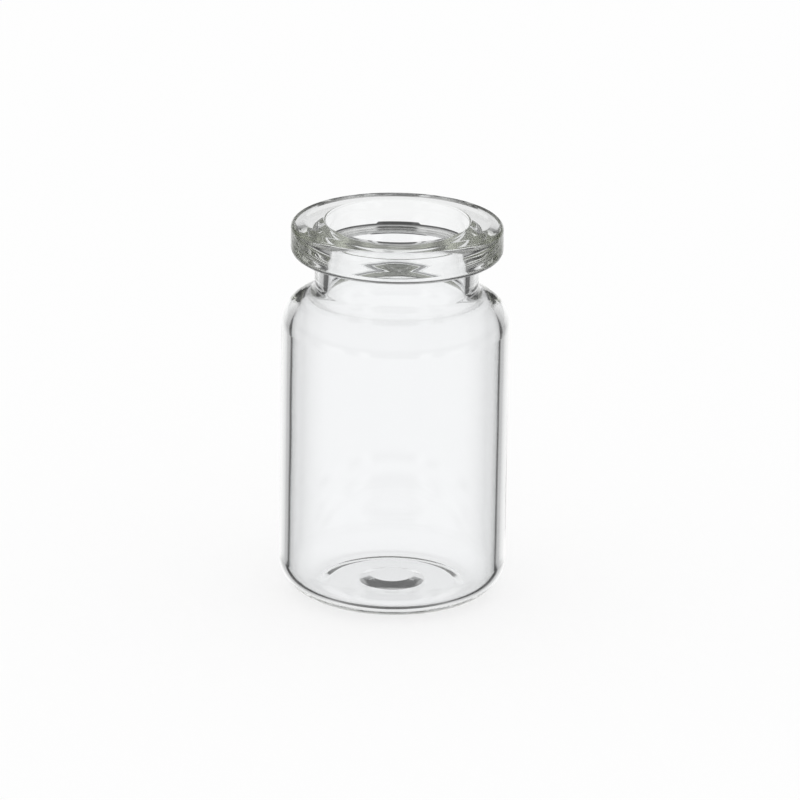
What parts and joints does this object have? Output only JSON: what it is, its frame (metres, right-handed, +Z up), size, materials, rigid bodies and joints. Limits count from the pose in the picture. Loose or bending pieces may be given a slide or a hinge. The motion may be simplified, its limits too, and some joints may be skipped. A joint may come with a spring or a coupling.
{
  "type": "glass sample vial",
  "caption": "Open clear glass sample vial with a crimp flange, short neck, sloping shoulder, straight barrel, rounded heel and recessed base.",
  "frame": {"origin": "centre of the standing ring under the base, on the vial's axis", "axes": "+Z up along the vial's axis, out of the open mouth; +X and +Y are any two square directions across it"},
  "size_m": [0.0216, 0.0216, 0.0364],
  "materials": {
    "glass": "clear, fire-polished gloss"
  },
  "bodies": {
    "root": {"vial": "glass"}
  },
  "joints": []
}
